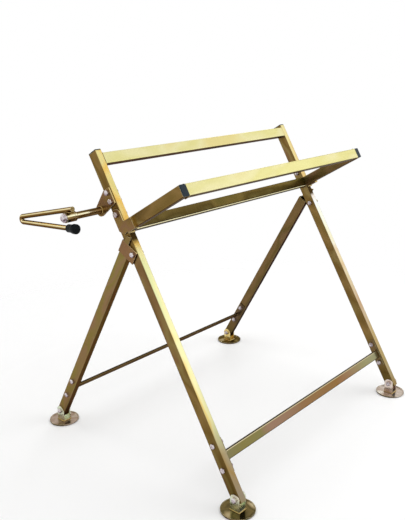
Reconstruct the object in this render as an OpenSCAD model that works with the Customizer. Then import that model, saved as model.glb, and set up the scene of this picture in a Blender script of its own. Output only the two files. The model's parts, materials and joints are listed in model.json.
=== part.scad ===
// Folding log sawhorse in plated steel tube: two front legs that run up past a hinged
// cradle to hold the back of a log, two rear legs that hinge to them, four tilting feet
// and a swinging saw rest at the left end. X runs along the log, front is -Y, up is +Z.

/* [Frame] */
// Length over the outer faces of the leg tubes
frame_len = 815; // [700:1:1000]
// Lean of each leg from the vertical, in degrees
leg_angle = 30; // [27:0.5:32]
// Foot bolt to leg hinge bolt, along a front leg
hinge_s = 640; // [560:1:720]
// Leg hinge bolt to cradle bolt, along a front leg
cradle_rise = 108; // [100:1:130]
// Cradle bolt to the upper end of a front leg
leg_rise = 172; // [150:1:240]
// Leg tube below the foot bolt
leg_below = 12; // [10:1:16]

/* [Tube] */
// Wide side of the rectangular tube
tube_w = 30; // [26:1:36]
// Narrow side of the rectangular tube
tube_t = 20; // [18:1:26]
// Wall of the tube
tube_wall = 1.5; // [1.2:0.1:2]
// Outer corner radius of the tube
tube_r = 2.5; // [2.1:0.1:4]
// Gap between the folded rear leg and the front leg
leg_fold_gap = 2; // [1:0.5:6]
// Gap between the square end of a rear leg and the front leg
leg_end_gap = 0.3; // [0.2:0.1:2]

/* [Cradle] */
// Reach of a cradle arm from the centre line of the front leg
arm_reach = 230; // [200:1:300]
// Gap between a folded cradle arm and the front leg
arm_fold_gap = 6; // [4:0.5:12]
// Inset of a cradle arm from the outer face of the leg
arm_inset = 4; // [3:0.5:6]
// Gap between the square end of a cradle arm and the front leg
arm_end_gap = 0.5; // [0.4:0.1:1]
// Sheet thickness of the cradle brackets
bracket_t = 3; // [2:0.5:4]
// Half width of the bracket plate where it turns on its bolt
bracket_half = 14; // [13:0.5:15]
// Reach of the bracket tab from the centre line of the front leg
tab_reach = 44; // [36:1:60]
// Bracket plate below the arm, at its pointed lower end
bracket_drop = 3; // [2:0.5:6]
// Depth of the lip under the arm, measured inward from the arm's outer face
lip_depth = 7; // [4:0.5:12]
// Length of the stop lug on the front face of the leg
lug_len = 6; // [5:1:12]
// Back rail's lower distance from the upper end of the leg
back_rail_drop = 8; // [4:1:30]

/* [Hinge plates] */
// Sheet thickness of the leg hinge plates
hinge_t = 4; // [3:0.5:5]
// Hinge plate above the hinge bolt
hinge_up = 12; // [10:1:14]
// Hinge plate below the hinge bolt
hinge_down = 24; // [18:1:40]
// Hinge plate past the hinge bolt
hinge_edge = 10; // [9:0.5:13]
// Hinge plate's tongue above the hinge bolt, in line with the rear leg
tongue_up = 35; // [28:1:40]
// Width of the hinge plate's tongue
tongue_w = 16; // [12:1:22]
// Gap between the tongue's sweep and the cradle bracket
tongue_gap = 4; // [3:0.5:8]

/* [Cross-bars] */
// Foot bolt to the lower cross-bar bolt
bar_bolt_low = 74; // [66:1:110]
// Spacing of the two bolts of a cross-bar tab
bar_bolt_gap = 62; // [54:1:80]
// Middle of the cross-bars below the middle of their end tabs
bar_low = 4; // [0:1:10]
// Height of the front cross-bar, a shallow channel
bar_h = 24; // [18:1:28]
// Depth of the front cross-bar
bar_depth = 8; // [6:1:12]
// Sheet thickness of the front cross-bar
bar_wall = 2; // [1.5:0.5:3]
// Height of the rear cross-bar, a flat strip
rear_bar_h = 18; // [14:1:24]
// Thickness of the rear cross-bar
rear_bar_t = 4; // [3:0.5:6]
// Sheet thickness of the end tabs
bar_tab_t = 3; // [2:0.5:4]
// Width of the end tabs
bar_tab_w = 24; // [20:1:28]
// End tab past the bolt centres
bar_tab_edge = 13; // [10:0.5:16]

/* [Feet] */
// Height of the foot bolt above the ground
foot_bolt_h = 35; // [32:1:50]
// Diameter of the round foot plate
foot_d = 87; // [70:1:110]
// Thickness of the foot plate
foot_t = 3; // [2:0.5:5]
// Height of the turned-up rim of the foot plate
foot_rim_h = 5; // [4:0.5:7]
// Sheet thickness of the foot clevis
clevis_t = 3; // [2:0.5:4]
// Width of the foot clevis
clevis_w = 28; // [24:1:34]

/* [Fasteners] */
// Diameter of the bolts
bolt_d = 8; // [6:0.5:10]
// Width across flats of heads and nuts
bolt_af = 13; // [10:0.5:15]
// Height of a bolt head
head_h = 5.3; // [4:0.1:7]
// Height of a lock nut
nut_h = 8; // [6:0.5:10]
// Bolt thread that shows past its nut
bolt_tip = 2; // [1:0.5:4]
// Radial play of a bolt in its hole
bolt_play = 0.05; // [0.03:0.01:0.1]
// Side gap between plates that turn against each other
play = 0.3; // [0.2:0.05:0.5]

/* [End plugs] */
// Thickness of the plug's cap outside the tube
plug_cap = 3; // [2:0.5:5]
// Depth of the plug inside the tube
plug_in = 14; // [8:1:20]
// Gap between the plug and the tube wall
plug_gap = 0.2; // [0.1:0.05:0.4]

/* [Saw rest] */
// Cradle bolt to the middle of the saw rest bracket, along the front leg
saw_rise = 48; // [42:1:70]
// Saw rest pin below the middle of its bracket, along the front leg
saw_drop = 15; // [8:1:20]
// Saw rest pin behind the centre line of the front leg
saw_back = 50; // [42:1:56]
// Diameter of the saw rest pin
saw_pin_d = 18; // [16:1:20]
// Length of the pin outside its bracket
saw_pin_len = 112; // [80:1:160]
// Thickness of the saw rest bracket
saw_plate_t = 4; // [3:0.5:6]
// Edge of the bracket around the pin
saw_plate_edge = 7; // [5:0.5:10]
// Spacing of the two bolts of the bracket
saw_bolt_gap = 24; // [20:1:30]
// Width of the sleeve that turns on the pin
sleeve_w = 24; // [18:1:34]
// Width of the pin's collar beside the sleeve
collar_w = 6; // [3:1:10]
// Wall of the sleeve
sleeve_wall = 3.5; // [3:0.5:5]
// Diameter of the bent rod
rod_d = 13; // [8:1:14]
// Fall of the rod's upper leg behind the pin, in degrees
rod_fall = 12.5; // [5:0.5:30]
// Length of the rod's upper leg behind the pin
rod_upper = 195; // [150:1:260]
// Length of the rod's upper leg in front of the pin
rod_front = 22; // [16:1:40]
// Length of the rod's lower leg
rod_lower = 215; // [150:1:240]
// Centre line radius of the rod's bend
rod_bend_r = 7.5; // [7:0.5:14]
// Spread of the rod's two legs, in degrees
rod_spread = 9; // [8.5:0.5:20]
// Swelling of the rod where it is bent
rod_swell = 0.1; // [0.05:0.05:0.3]
// Diameter of the rubber cap
cap_d = 25; // [18:1:26]
// Length of the rubber cap
cap_len = 34; // [24:1:44]
// Rod inside the rubber cap
cap_grip = 26; // [16:1:28]

/* [Hidden] */

zinc = [0.62, 0.55, 0.32];
bright = [0.78, 0.76, 0.74];
black = [0.10, 0.12, 0.14];
fine = 48;
cut = 1;

// Places along a front leg, from its foot bolt
cradle_s = hinge_s + cradle_rise;
leg_top = cradle_s + leg_rise;
arm_s = cradle_s - tube_w - arm_fold_gap;
arm_low = arm_s - tube_w / 2;
arm_start = tube_w / 2 + arm_end_gap;
arm_end = arm_reach - plug_cap;
bar_s = bar_bolt_low + bar_bolt_gap / 2;
bar_bolt_high = bar_bolt_low + bar_bolt_gap;
saw_s = cradle_s + saw_rise;
pin_s = saw_s - saw_drop;

// The rear leg passes behind the hinge bolt, so that it folds flat against the front leg
hinge_offset = tube_w + leg_fold_gap;
rear_hinge_s = hinge_s + hinge_offset * tan(leg_angle);
stance = 2 * hinge_s * sin(leg_angle) + hinge_offset / cos(leg_angle);
rear_edge = hinge_offset - tube_w / 2;
rear_end_drop = (tube_w / 2 + leg_end_gap - rear_edge * cos(2 * leg_angle)) / sin(2 * leg_angle);
rear_top = rear_hinge_s - rear_end_drop;
bracket_near = min(arm_low - bracket_drop - hinge_s, norm([arm_start, arm_low - lug_len - hinge_s]));
tongue_r = bracket_near - tongue_gap;
tongue_half = tongue_w / 2;
tongue_front = min(tongue_up, sqrt(max(0, tongue_r ^ 2 - (hinge_offset - tongue_half) ^ 2)));
tongue_rear = min(tongue_front, sqrt(max(0, tongue_r ^ 2 - (hinge_offset + tongue_half) ^ 2)));

// How far the bolt heads, the saw rest and the feet reach past the outer faces of the legs
plate_max = max(hinge_t, bracket_t);
stack_out = play + plate_max + play + head_h;
retainer_t = 3;
saw_out = saw_plate_t + saw_pin_len + retainer_t + head_h;
foot_out = play + foot_d / 2 - tube_t / 2;
origin_x = (saw_out - max(stack_out, foot_out)) / 2;

// Saw rest pin in the upright frame
saw_y = -stance / 2 + pin_s * sin(leg_angle) + saw_back * cos(leg_angle);
saw_z = foot_bolt_h + pin_s * cos(leg_angle) - saw_back * sin(leg_angle);
sleeve_r = saw_pin_d / 2 + bolt_play + sleeve_wall;
rod_lift = sleeve_r + rod_d / 2 - 1;

// Left end of the frame: x runs inward from the outer face of the leg tubes
module at_left() translate([origin_x - frame_len / 2, 0, 0]) children();

// Right end of the frame, the mirror image of the left end
module at_right() translate([origin_x, 0, 0]) mirror([1, 0, 0]) translate([-frame_len / 2, 0, 0]) children();

// Front leg: z runs up along the leg from its foot bolt, y points to the rear
module on_front_leg() translate([0, -stance / 2, foot_bolt_h]) rotate([-leg_angle, 0, 0]) children();

// Rear leg, set out by one side gap so that the hinge plate lies flat on it
module on_rear_leg() translate([-play, stance / 2, foot_bolt_h]) rotate([leg_angle, 0, 0]) children();

// Rectangle with round corners, centred
module round_rect(w, h, r) {
    square([w - 2 * r, h], center = true);
    square([w, h - 2 * r], center = true);
    for (i = [-1, 1], j = [-1, 1])
        translate([i * (w / 2 - r), j * (h / 2 - r)]) circle(r, $fn = 32);
}

// Section of the rectangular tube
module tube_section(w, h) difference() {
    round_rect(w, h, tube_r);
    round_rect(w - 2 * tube_wall, h - 2 * tube_wall, tube_r - tube_wall);
}

// Solid shape extruded along X from x0 to x1, drawn in y and z
module along_x(x0, x1) translate([x0, 0, 0]) rotate([90, 0, 90]) linear_extrude(x1 - x0) children();

// Round hole or bar along X
module bar_x(x0, x1, y, z, r) translate([x0, y, z]) rotate([0, 90, 0])
    cylinder(h = x1 - x0, r = r, $fn = fine);

// Leg tube between two heights, with bolt holes at the listed heights
module leg_tube(z0, z1, holes) difference() {
    translate([tube_t / 2, 0, z0]) linear_extrude(z1 - z0) tube_section(tube_t, tube_w);
    for (z = holes) bar_x(-cut, tube_t + cut, 0, z, bolt_d / 2 + bolt_play);
}

// Plug in the upper end of a leg tube that ends at height z
module leg_plug(z) {
    translate([tube_t / 2, 0, z]) linear_extrude(plug_cap) round_rect(tube_t, tube_w, tube_r);
    translate([tube_t / 2, 0, z - plug_in]) linear_extrude(plug_in) plug_core();
}

module plug_core() round_rect(tube_t - 2 * (tube_wall + plug_gap), tube_w - 2 * (tube_wall + plug_gap),
    tube_r - tube_wall);

// Hexagon bolt with its head's seat at x0, through a grip and a nut
module bolt(x0, grip, y, z) translate([x0, y, z]) rotate([0, 90, 0]) {
    translate([0, 0, -head_h]) intersection() {
        cylinder(h = head_h, d = bolt_af / cos(30), $fn = 6);
        cylinder(h = head_h, r1 = bolt_af / 2 - 0.4, r2 = bolt_af / 2 + head_h - 0.4, $fn = fine);
    }
    cylinder(h = grip + nut_h + bolt_tip, d = bolt_d, $fn = fine);
}

// Lock nut with its seat at x0
module nut(x0, y, z) translate([x0, y, z]) rotate([0, 90, 0]) difference() {
    union() {
        cylinder(h = nut_h * 0.7, d = bolt_af / cos(30), $fn = 6);
        cylinder(h = nut_h, d = bolt_af - 2, $fn = fine);
    }
    translate([0, 0, -cut]) cylinder(h = nut_h + 2 * cut, r = bolt_d / 2 + bolt_play, $fn = fine);
}

// Cross-bar of a leg frame that is span long over the tubes' outer faces, with the given section
module crossbar(span) {
    x_bar = tube_t + bar_tab_t;
    along_x(x_bar, span - x_bar) translate([0, bar_s - bar_low]) children();
    for (x = [tube_t, span - tube_t - bar_tab_t]) difference() {
        along_x(x, x + bar_tab_t) translate([0, bar_s])
            round_rect(bar_tab_w, bar_bolt_gap + 2 * bar_tab_edge, tube_r);
        for (z = [bar_bolt_low, bar_bolt_high])
            bar_x(x - cut, x + bar_tab_t + cut, 0, z, bolt_d / 2 + bolt_play);
    }
}

module front_leg_left() color(zinc) at_left() on_front_leg()
    leg_tube(-leg_below, leg_top - plug_cap, concat(front_holes, saw_holes));

module front_leg_right() color(zinc) at_right() on_front_leg()
    leg_tube(-leg_below, leg_top - plug_cap, front_holes);

front_holes = [0, bar_bolt_low, bar_bolt_high, hinge_s, cradle_s];
saw_holes = [saw_s - saw_bolt_gap / 2, saw_s + saw_bolt_gap / 2];

module front_leg_plugs() color(black) {
    at_left() on_front_leg() leg_plug(leg_top - plug_cap);
    at_right() on_front_leg() leg_plug(leg_top - plug_cap);
}

module front_crossbar() color(zinc) at_left() on_front_leg() crossbar(frame_len) difference() {
    square([bar_depth, bar_h], center = true);
    translate([bar_wall, 0]) square([bar_depth, bar_h - 2 * bar_wall], center = true);
}

// Rails between the inner faces of the front legs, flush with the legs' front faces
module leg_rail(z) at_left() on_front_leg()
    along_x(tube_t, frame_len - tube_t) translate([(tube_t - tube_w) / 2, z]) tube_section(tube_t, tube_w);

module centre_beam() color(zinc) leg_rail(arm_s);

module back_rail() color(zinc) leg_rail(leg_top - plug_cap - back_rail_drop - tube_w / 2);

// Bolts through a front leg and an end tab, heads outside
module bar_bolts() for (z = [bar_bolt_low, bar_bolt_high]) bolt(0, tube_t + bar_tab_t, 0, z);

module bar_nuts() for (z = [bar_bolt_low, bar_bolt_high]) nut(tube_t + bar_tab_t, 0, z);

module front_bar_bolts() color(bright) {
    at_left() on_front_leg() bar_bolts();
    at_right() on_front_leg() bar_bolts();
}

module front_bar_nuts() color(bright) {
    at_left() on_front_leg() bar_nuts();
    at_right() on_front_leg() bar_nuts();
}

hinge_seat = play + hinge_t + play;
module hinge_bolts() color(bright) {
    at_left() on_front_leg() bolt(-hinge_seat, hinge_seat + tube_t, 0, hinge_s);
    at_right() on_front_leg() bolt(-hinge_seat, hinge_seat + tube_t, 0, hinge_s);
}

module hinge_nuts() color(bright) {
    at_left() on_front_leg() nut(tube_t, 0, hinge_s);
    at_right() on_front_leg() nut(tube_t, 0, hinge_s);
}

cradle_seat = play + bracket_t + play;
module cradle_bolts() color(bright) {
    at_left() on_front_leg() bolt(-cradle_seat, cradle_seat + tube_t, 0, cradle_s);
    at_right() on_front_leg() bolt(-cradle_seat, cradle_seat + tube_t, 0, cradle_s);
}

module cradle_nuts() color(bright) {
    at_left() on_front_leg() nut(tube_t, 0, cradle_s);
    at_right() on_front_leg() nut(tube_t, 0, cradle_s);
}

// Foot bolts pass through both walls of the clevis and the leg between them
foot_seat = play + clevis_t + play;
module foot_bolt() bolt(-foot_seat, tube_t + 2 * foot_seat, 0, 0);

module foot_nut() nut(tube_t + foot_seat, 0, 0);

module front_foot_bolts() color(bright) {
    at_left() on_front_leg() foot_bolt();
    at_right() on_front_leg() foot_bolt();
}

module front_foot_nuts() color(bright) {
    at_left() on_front_leg() foot_nut();
    at_right() on_front_leg() foot_nut();
}

// Plate on the outer face of the left front leg, with the saw rest's pin on its rear lobe
module saw_bracket() color(zinc) at_left() on_front_leg() difference() {
    along_x(-saw_plate_t, 0) hull() {
        translate([0, saw_s])
            round_rect(tube_w - 2 * tube_r, saw_bolt_gap + bolt_af + saw_plate_edge, tube_r);
        translate([saw_back, pin_s]) circle(d = saw_pin_d + 2 * saw_plate_edge, $fn = fine);
    }
    for (z = saw_holes) bar_x(-saw_plate_t - cut, cut, 0, z, bolt_d / 2 + bolt_play);
}

module saw_bracket_bolts() color(bright) at_left() on_front_leg()
    for (z = saw_holes) bolt(-saw_plate_t, saw_plate_t + tube_t, 0, z);

module saw_bracket_nuts() color(bright) at_left() on_front_leg()
    for (z = saw_holes) nut(tube_t, 0, z);

pin_end = -saw_plate_t - saw_pin_len;
pin_hole = 20;
collar_at = pin_end + play + sleeve_w + play;
module saw_pin() color(zinc) at_left() on_front_leg() difference() {
    union() {
        bar_x(pin_end, -saw_plate_t, saw_back, pin_s, saw_pin_d / 2);
        bar_x(collar_at, collar_at + collar_w, saw_back, pin_s, sleeve_r);
    }
    bar_x(pin_end - cut, pin_end + pin_hole, saw_back, pin_s, bolt_d / 2 + bolt_play);
}

// Washer-headed bolt that keeps the sleeve on the pin
module saw_retainer() color(bright) at_left() on_front_leg() translate([pin_end, saw_back, pin_s]) {
    bar_x(-retainer_t, 0, 0, 0, sleeve_r - 1);
    bar_x(0, pin_hole - 2, 0, 0, bolt_d / 2);
    translate([-retainer_t - head_h, 0, 0]) rotate([0, 90, 0])
        cylinder(h = head_h, d = bolt_af / cos(30), $fn = 6);
}

// Bent rod welded across the top of its sleeve: upper leg, tight bend, lower leg
module rod_frame() at_left() translate([pin_end + play + sleeve_w / 2, saw_y, saw_z])
    rotate([-rod_fall, 0, 0]) children();

module rod_lower_leg() translate([0, rod_upper + rod_bend_r * sin(rod_spread),
    rod_lift - rod_bend_r - rod_bend_r * cos(rod_spread)]) rotate([90 + rod_spread, 0, 0]) children();

rod_lap = 0.5;

module saw_rod() color(zinc) rod_frame() difference() {
    union() {
        bar_x(-sleeve_w / 2, sleeve_w / 2, 0, 0, sleeve_r);
        translate([0, -rod_front, rod_lift]) rotate([-90, 0, 0])
            cylinder(h = rod_front + rod_upper + rod_lap, d = rod_d, $fn = fine);
        translate([0, rod_upper, rod_lift - rod_bend_r]) rotate([0, 90, 0]) rotate([0, 0, rod_spread])
            rotate_extrude(angle = 180 - rod_spread, $fn = 96)
                translate([rod_bend_r, 0]) circle(d = rod_d + 2 * rod_swell, $fn = fine);
        rod_lower_leg() translate([0, 0, -rod_lap]) cylinder(h = rod_lower + rod_lap, d = rod_d, $fn = fine);
    }
    bar_x(-sleeve_w, sleeve_w, 0, 0, saw_pin_d / 2 + bolt_play);
}

cap_round = 6;
module saw_rod_cap() color(black) rod_frame() rod_lower_leg() translate([0, 0, rod_lower - cap_grip])
    difference() {
        rotate_extrude($fn = 64) {
            square([cap_d / 2 - cap_round, cap_len]);
            square([cap_d / 2, cap_len - cap_round]);
            translate([cap_d / 2 - cap_round, cap_len - cap_round]) circle(cap_round, $fn = fine);
        }
        translate([0, 0, -cut]) cylinder(h = cap_grip + cut, d = rod_d + 2 * bolt_play, $fn = fine);
    }

module rear_leg_left() color(zinc) at_left() on_rear_leg() rear_leg();

module rear_leg_right() color(zinc) at_right() on_rear_leg() rear_leg();

module rear_leg() leg_tube(-leg_below, rear_top, [0, bar_bolt_low, bar_bolt_high]);

module rear_crossbar() color(zinc) at_left() on_rear_leg() crossbar(frame_len + 2 * play)
    square([rear_bar_t, rear_bar_h], center = true);

// Plate across the rear leg's upper end that carries the hinge bolt in front of the leg, with a
// tongue above it that keeps clear of the cradle bracket at every fold
module hinge_plate() on_rear_leg() difference() {
    along_x(-hinge_t, 0) {
        translate([-(hinge_offset + hinge_edge), rear_hinge_s - hinge_down])
            square([hinge_offset + hinge_edge + tube_w / 2, hinge_down + hinge_up]);
        translate([0, rear_hinge_s]) polygon([
            [-tongue_half, 0], [tongue_half, 0], [tongue_half, tongue_rear], [-tongue_half, tongue_front],
        ]);
    }
    bar_x(-hinge_t - cut, cut, -hinge_offset, rear_hinge_s, bolt_d / 2 + bolt_play);
}

module hinge_plate_left() color(zinc) at_left() hinge_plate();

module hinge_plate_right() color(zinc) at_right() hinge_plate();

module rear_bar_bolts() color(bright) {
    at_left() on_rear_leg() bar_bolts();
    at_right() on_rear_leg() bar_bolts();
}

module rear_bar_nuts() color(bright) {
    at_left() on_rear_leg() bar_nuts();
    at_right() on_rear_leg() bar_nuts();
}

module rear_foot_bolts() color(bright) {
    at_left() on_rear_leg() foot_bolt();
    at_right() on_rear_leg() foot_bolt();
}

module rear_foot_nuts() color(bright) {
    at_left() on_rear_leg() foot_nut();
    at_right() on_rear_leg() foot_nut();
}

// Cradle arm, square to the front leg
module cradle_arm() on_front_leg() translate([arm_inset + tube_t / 2, -arm_start, arm_s]) rotate([90, 0, 0])
    linear_extrude(arm_end - arm_start) tube_section(tube_t, tube_w);

module cradle_arm_left() color(zinc) at_left() cradle_arm();

module cradle_arm_right() color(zinc) at_right() cradle_arm();

// Rail between the arms' ends, its outer face flush with their plugs
module cradle_rail() color(zinc) at_left() on_front_leg()
    along_x(arm_inset + tube_t, frame_len - arm_inset - tube_t)
        translate([-(arm_reach - tube_t / 2), arm_s]) tube_section(tube_t, tube_w);

module arm_plug() on_front_leg() translate([arm_inset + tube_t / 2, -arm_end, arm_s]) rotate([90, 0, 0]) {
    linear_extrude(plug_cap) round_rect(tube_t, tube_w, tube_r);
    translate([0, 0, -plug_in]) linear_extrude(plug_in) plug_core();
}

module cradle_plugs() color(black) {
    at_left() arm_plug();
    at_right() arm_plug();
}

// Bent bracket: a plate that turns on the cradle bolt outside the leg, a tab with lips that hold
// the arm, and a lug that stops against the front face of the leg
module cradle_bracket() on_front_leg() {
    x_out = -play - bracket_t;
    difference() {
        along_x(x_out, -play) {
            translate([0, cradle_s]) circle(bracket_half, $fn = fine);
            polygon([
                [bracket_half, cradle_s], [-bracket_half, cradle_s], [-bracket_half, arm_low],
                [0, arm_low - bracket_drop], [bracket_half, arm_low + bracket_half - bracket_drop],
            ]);
            translate([-tab_reach, arm_low]) square([tab_reach - bracket_half + cut, tube_w - tube_r]);
            translate([-arm_start - bracket_t, arm_low - lug_len]) square([bracket_t, lug_len + cut]);
        }
        bar_x(x_out - cut, cut, 0, cradle_s, bolt_d / 2 + bolt_play);
    }
    translate([-play, -tab_reach, arm_low]) cube([arm_inset + play, bracket_t, tube_w - tube_r]);
    translate([x_out, -tab_reach, arm_low - bracket_t])
        cube([arm_inset + lip_depth - x_out, tab_reach - arm_start, bracket_t]);
    translate([-play, -arm_start - bracket_t, arm_low - lug_len])
        cube([play + tube_t - tube_r, bracket_t, lug_len]);
}

module cradle_bracket_left() color(zinc) at_left() cradle_bracket();

module cradle_bracket_right() color(zinc) at_right() cradle_bracket();

// Foot on the ground below a foot bolt; set_out is the leg's own side gap
module foot_place(side_y, set_out) translate([-set_out, side_y * stance / 2, 0]) children();

foot_lip = 2;
module foot_plate() translate([tube_t / 2, 0, 0]) rotate_extrude($fn = 96)
    polygon([
        [0, 0], [foot_d / 2 - foot_lip, 0], [foot_d / 2, foot_lip], [foot_d / 2, foot_rim_h],
        [foot_d / 2 - foot_lip, foot_rim_h], [foot_d / 2 - foot_lip, foot_t + foot_lip / 2],
        [foot_d / 2 - foot_lip * 1.5, foot_t], [0, foot_t],
    ]);

module foot_clevis() {
    walls = [-play - clevis_t, tube_t + play];
    translate([walls[0], -clevis_w / 2, foot_t]) cube([tube_t + 2 * (play + clevis_t), clevis_w, clevis_t]);
    for (x = walls) difference() {
        along_x(x, x + clevis_t) {
            translate([-clevis_w / 2, foot_t]) square([clevis_w, foot_bolt_h - foot_t]);
            translate([0, foot_bolt_h]) circle(d = clevis_w, $fn = fine);
        }
        bar_x(x - cut, x + clevis_t + cut, 0, foot_bolt_h, bolt_d / 2 + bolt_play);
    }
}

module foot_plate_front_left() color(zinc) at_left() foot_place(-1, 0) foot_plate();

module foot_plate_front_right() color(zinc) at_right() foot_place(-1, 0) foot_plate();

module foot_plate_rear_left() color(zinc) at_left() foot_place(1, play) foot_plate();

module foot_plate_rear_right() color(zinc) at_right() foot_place(1, play) foot_plate();

module foot_clevis_front_left() color(zinc) at_left() foot_place(-1, 0) foot_clevis();

module foot_clevis_front_right() color(zinc) at_right() foot_place(-1, 0) foot_clevis();

module foot_clevis_rear_left() color(zinc) at_left() foot_place(1, play) foot_clevis();

module foot_clevis_rear_right() color(zinc) at_right() foot_place(1, play) foot_clevis();

front_leg_left();
front_leg_right();
front_leg_plugs();
front_crossbar();
centre_beam();
back_rail();
front_bar_bolts();
front_bar_nuts();
hinge_bolts();
hinge_nuts();
cradle_bolts();
cradle_nuts();
front_foot_bolts();
front_foot_nuts();
saw_bracket();
saw_bracket_bolts();
saw_bracket_nuts();
saw_pin();
saw_retainer();
saw_rod();
saw_rod_cap();
rear_leg_left();
rear_leg_right();
rear_crossbar();
hinge_plate_left();
hinge_plate_right();
rear_bar_bolts();
rear_bar_nuts();
rear_foot_bolts();
rear_foot_nuts();
cradle_rail();
cradle_arm_left();
cradle_arm_right();
cradle_bracket_left();
cradle_bracket_right();
cradle_plugs();
foot_plate_front_left();
foot_plate_front_right();
foot_plate_rear_left();
foot_plate_rear_right();
foot_clevis_front_left();
foot_clevis_front_right();
foot_clevis_rear_left();
foot_clevis_rear_right();
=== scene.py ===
# %% [markdown]
# A folding log sawhorse in yellow zinc. Its tubes, plates, bolts and feet come ready from the
# CAD model, each as a mesh in metres that already sits in its right place. A picture needs
# more than shapes, so this file gives each of them its metal, plastic or rubber, adds the
# small things that a workshop leaves on a welded frame, and sets up the studio round it.

# %% Load the frame
import json
import math
import random

import bmesh
import bpy
from mathutils import Matrix, Vector


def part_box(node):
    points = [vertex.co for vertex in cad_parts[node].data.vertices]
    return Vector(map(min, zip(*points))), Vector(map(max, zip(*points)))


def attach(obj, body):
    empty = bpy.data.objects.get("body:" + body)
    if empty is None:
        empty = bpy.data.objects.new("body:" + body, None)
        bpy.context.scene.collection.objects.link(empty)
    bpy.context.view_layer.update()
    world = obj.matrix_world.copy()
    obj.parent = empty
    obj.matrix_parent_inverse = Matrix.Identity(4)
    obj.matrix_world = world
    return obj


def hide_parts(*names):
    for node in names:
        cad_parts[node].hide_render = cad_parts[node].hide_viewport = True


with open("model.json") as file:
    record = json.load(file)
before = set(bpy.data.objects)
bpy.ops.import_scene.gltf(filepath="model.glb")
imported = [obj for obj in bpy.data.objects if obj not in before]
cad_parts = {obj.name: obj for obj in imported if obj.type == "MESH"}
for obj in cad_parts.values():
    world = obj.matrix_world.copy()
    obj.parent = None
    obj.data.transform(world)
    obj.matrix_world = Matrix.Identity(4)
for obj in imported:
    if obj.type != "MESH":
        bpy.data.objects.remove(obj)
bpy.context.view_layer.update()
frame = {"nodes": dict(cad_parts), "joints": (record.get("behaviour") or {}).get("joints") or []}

nodes = frame["nodes"]

# %% [markdown]
# The camera stands in front of the left end, a little above the rails, and looks down on the
# frame. A long lens would make the far feet as big as the near ones, so the focal length here
# is a normal one, and the distance follows from it.

# %% Camera
# The picture's height and the focal length in pixels, then the camera's turns in degrees
IMAGE_H, FOCAL_PX = 520, 677.5
YAW, DOWN, ROLL = -48.35, 16.4, -0.87

camera_data = bpy.data.cameras.new("camera")
camera_data.sensor_fit = "VERTICAL"
camera_data.sensor_height = 36.0
camera_data.lens = FOCAL_PX / IMAGE_H * camera_data.sensor_height
camera = bpy.data.objects.new("camera", camera_data)
camera.location = (-1.4523, -1.2143, 1.0463)
turn = Matrix.Rotation(math.radians(YAW), 3, "Z")
tip = Matrix.Rotation(math.radians(90 - DOWN), 3, "X")
roll = Matrix.Rotation(math.radians(ROLL), 3, "Z")
camera.rotation_euler = (turn @ tip @ roll).to_euler()
bpy.context.scene.collection.objects.link(camera)
bpy.context.scene.camera = camera
print("lens %.1f mm" % camera_data.lens)

# %% [markdown]
# The frame leans in two directions, so points on it are easiest to name along a leg: s is the
# way up from the foot bolt, q is how far a point lies in front of the leg's centre line, and x
# is the depth behind the outer face of the left tube. Two small functions turn these into
# world places, one for the front legs and one for the rear ones. The sizes come from the
# model's own boxes and joints, so they follow it when it changes.

# %% Places along a leg
joints = {j["name"]: j for j in frame["joints"]}
LEAN = math.radians(30)
LEFT_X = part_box("front_leg_left")[0].x
RIGHT_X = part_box("front_leg_right")[1].x
SPAN = RIGHT_X - LEFT_X
foot_pin = Vector(joints["foot_tilt_front_left"]["pos_m"])
rear_pin = Vector(joints["foot_tilt_rear_left"]["pos_m"])
hinge_pin = Vector(joints["leg_fold"]["pos_m"])
cradle_pin = Vector(joints["cradle_fold"]["pos_m"])
MM = 0.001
TUBE_W, TUBE_T = 30 * MM, 20 * MM


def front(x, q, s):
    """A place on the front frame: x from the left outer face, q to the front, s up the leg."""
    y = foot_pin.y + s * math.sin(LEAN) - q * math.cos(LEAN)
    z = foot_pin.z + s * math.cos(LEAN) + q * math.sin(LEAN)
    return Vector((LEFT_X + x, y, z))


def rear(x, q, s):
    """A place on the rear frame: q points to the rear leg's own front."""
    y = rear_pin.y - s * math.sin(LEAN) - q * math.cos(LEAN)
    z = rear_pin.z + s * math.cos(LEAN) - q * math.sin(LEAN)
    return Vector((LEFT_X + x, y, z))


cradle_s = (cradle_pin - foot_pin).yz.length
hinge_s = (hinge_pin - foot_pin).yz.length
# The lower bolt at a cross-bar's end, the gap to the upper one, and the drop of the bar's middle
BOLT_LOW, BOLT_GAP, BAR_DROP = 74 * MM, 62 * MM, 4 * MM
bar_bolts = [BOLT_LOW, BOLT_LOW + BOLT_GAP]
bar_s = BOLT_LOW + BOLT_GAP / 2 - BAR_DROP
print("span %.3f m, cradle bolt at %.3f m, hinge bolt at %.3f m" % (SPAN, cradle_s, hinge_s))

# %% [markdown]
# A studio floor is a plain pale sheet. The background behind it comes from the world, which
# shows white to the camera and in reflections, but lights the frame only softly: the lamps
# do the rest. A very large panel overhead, as a tent hangs in a product studio, and a wide
# one in front light the floor and give the shadows a direction. Plated steel would mirror
# them on top of the white surroundings and glare, so its reflections leave both out: each
# film colour then shows about as it is written. Only round and rolled edges catch the two
# small bright strips, which draw thin lines along them.

# %% Floor, world and lamps
FLOOR_HALF = 12.0
floor_mesh = bpy.data.meshes.new("floor")
corners = [(FLOOR_HALF * i, FLOOR_HALF * j, 0) for i, j in ((-1, -1), (1, -1), (1, 1), (-1, 1))]
floor_mesh.from_pydata(corners, [], [(0, 1, 2, 3)])
floor = bpy.data.objects.new("floor", floor_mesh)
bpy.context.scene.collection.objects.link(floor)

world = bpy.data.worlds.new("studio")
bpy.context.scene.world = world
bpy.context.scene.view_settings.view_transform = "Standard"
world.use_nodes = True


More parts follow.
